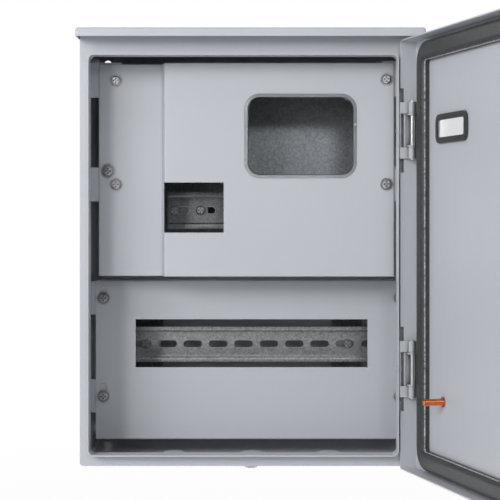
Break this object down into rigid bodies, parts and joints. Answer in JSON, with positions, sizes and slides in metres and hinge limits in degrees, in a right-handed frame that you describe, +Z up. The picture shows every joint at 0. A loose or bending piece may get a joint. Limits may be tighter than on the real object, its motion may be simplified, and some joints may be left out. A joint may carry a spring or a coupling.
{
  "type": "electric meter box",
  "caption": "Wall-hung sheet-steel electric meter box with a hinged sealed door, a stepped meter cover with a window, a slotted breaker cover, mounting rails and a cam lock.",
  "frame": {"origin": "centre of the four wall holes, on the outside of the back", "axes": "+Z up, the front faces -Y, +X is to the right seen from the front; the door stands open as pictured"},
  "size_m": [0.3867, 0.4679, 0.4004],
  "materials": {
    "powder_coat": "fine textured light grey powder coat",
    "zinc": "zinc-plated sheet steel",
    "screws": "bright zinc-plated steel",
    "rubber": "matt black rubber",
    "grey_rubber": "light grey rubber",
    "clear_plastic": "clear moulded plastic",
    "lock_metal": "nickel-plated die cast zinc",
    "copper": "copper-plated steel"
  },
  "bodies": {
    "enclosure": {"bracket_breaker_left_bottom": "powder_coat", "bracket_breaker_left_top": "powder_coat", "bracket_breaker_right_bottom": "powder_coat", "bracket_breaker_right_top": "powder_coat", "bracket_meter_left_bottom": "powder_coat", "bracket_meter_left_top": "powder_coat", "bracket_meter_right_bottom": "powder_coat", "bracket_meter_right_top": "powder_coat", "breaker_cover": "powder_coat", "breaker_cover_screws": "screws", "breaker_cover_washers": "screws", "cable_grommets": "grey_rubber", "earth_bolt": "screws", "earth_nut": "screws", "earth_washers": "screws", "enclosure_shell": "powder_coat", "hinge_rivets": "screws", "lower_hinge_leaf": "powder_coat", "lower_rail": "zinc", "lower_rail_screws": "screws", "lower_rail_support_left": "zinc", "lower_rail_support_right": "zinc", "meter_cover": "powder_coat", "meter_cover_screws": "screws", "meter_cover_washers": "screws", "meter_plate": "zinc", "meter_plate_bar_bottom": "zinc", "meter_plate_bar_top": "zinc", "meter_plate_screws": "screws", "meter_window": "clear_plastic", "rain_canopy": "powder_coat", "seal_screw": "screws", "seal_washer": "screws", "upper_hinge_leaf": "powder_coat", "upper_rail": "zinc", "upper_rail_screws": "screws", "upper_rail_support": "zinc"},
    "door": {"door_earth_stud": "copper", "door_gasket": "rubber", "door_panel": "powder_coat", "door_window_pane": "clear_plastic", "door_window_seal": "rubber", "lock_housing": "lock_metal", "lock_nut": "screws", "lower_hinge_bracket": "powder_coat", "lower_hinge_pin": "screws", "upper_hinge_bracket": "powder_coat", "upper_hinge_pin": "screws"},
    "lock": {"lock_cam": "zinc", "lock_cam_screw": "screws", "lock_plug": "lock_metal"}
  },
  "joints": [
    {"name": "door_hinge", "type": "hinge", "parent": "enclosure", "child": "door", "pos_m": [0.1455, -0.1772, 0], "axis": [0, 0, 1], "range_deg": [-105, 5]},
    {"name": "lock_turn", "type": "hinge", "parent": "door", "child": "lock", "pos_m": [0.21422, -0.43365, 0], "axis": [0.9659, 0.2588, 0], "range_deg": [0, 90]}
  ]
}
